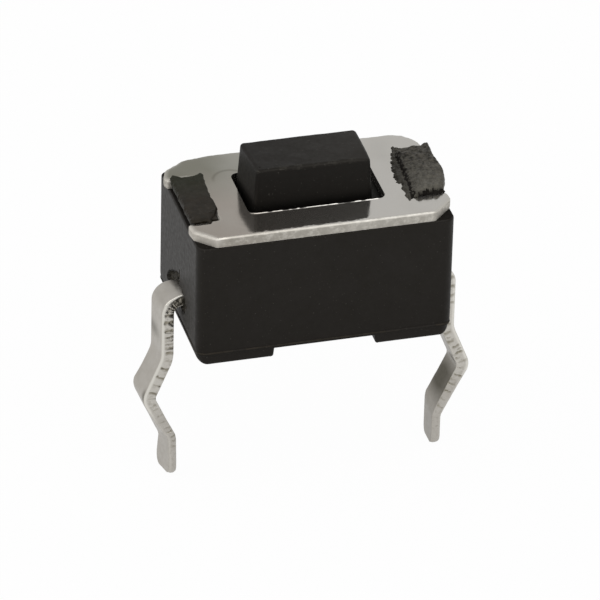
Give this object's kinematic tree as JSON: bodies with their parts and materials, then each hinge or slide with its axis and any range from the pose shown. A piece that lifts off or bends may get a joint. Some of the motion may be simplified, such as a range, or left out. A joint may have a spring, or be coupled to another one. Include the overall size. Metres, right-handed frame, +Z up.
{
  "type": "through-hole tactile push switch",
  "caption": "Small rectangular push switch: black moulded housing, staked metal cover, oblong button that clicks on a hidden snap dome, and kinked solder legs.",
  "frame": {"origin": "middle of the footprint on the board's surface, the plane of the feet's undersides", "axes": "+X along the housing from the left leg to the right leg, +Y across it to the back, +Z up from the board through the button"},
  "size_m": [0.0078, 0.0036, 0.0084],
  "materials": {
    "housing_plastic": "fine matte moulding, melted and torn at the two stakes",
    "cover_metal": "smooth nickel-plated stamping with rolled-over edges",
    "button_plastic": "fine matte moulding",
    "dome_metal": "bright spring steel",
    "tinned_leg": "dull tin plate, sheared edges ragged"
  },
  "bodies": {
    "switch_case": {"housing": "housing_plastic", "cover_plate": "cover_metal", "left_terminal": "tinned_leg", "right_terminal": "tinned_leg", "snap_dome": "dome_metal"},
    "pusher": {"button": "button_plastic"}
  },
  "joints": [
    {"name": "button_press", "type": "slide", "parent": "switch_case", "child": "pusher", "axis": [0, 0, -1], "range_m": [0, 0.00025], "stiffness_N_per_m": 6400, "deforming": ["snap_dome"]}
  ]
}
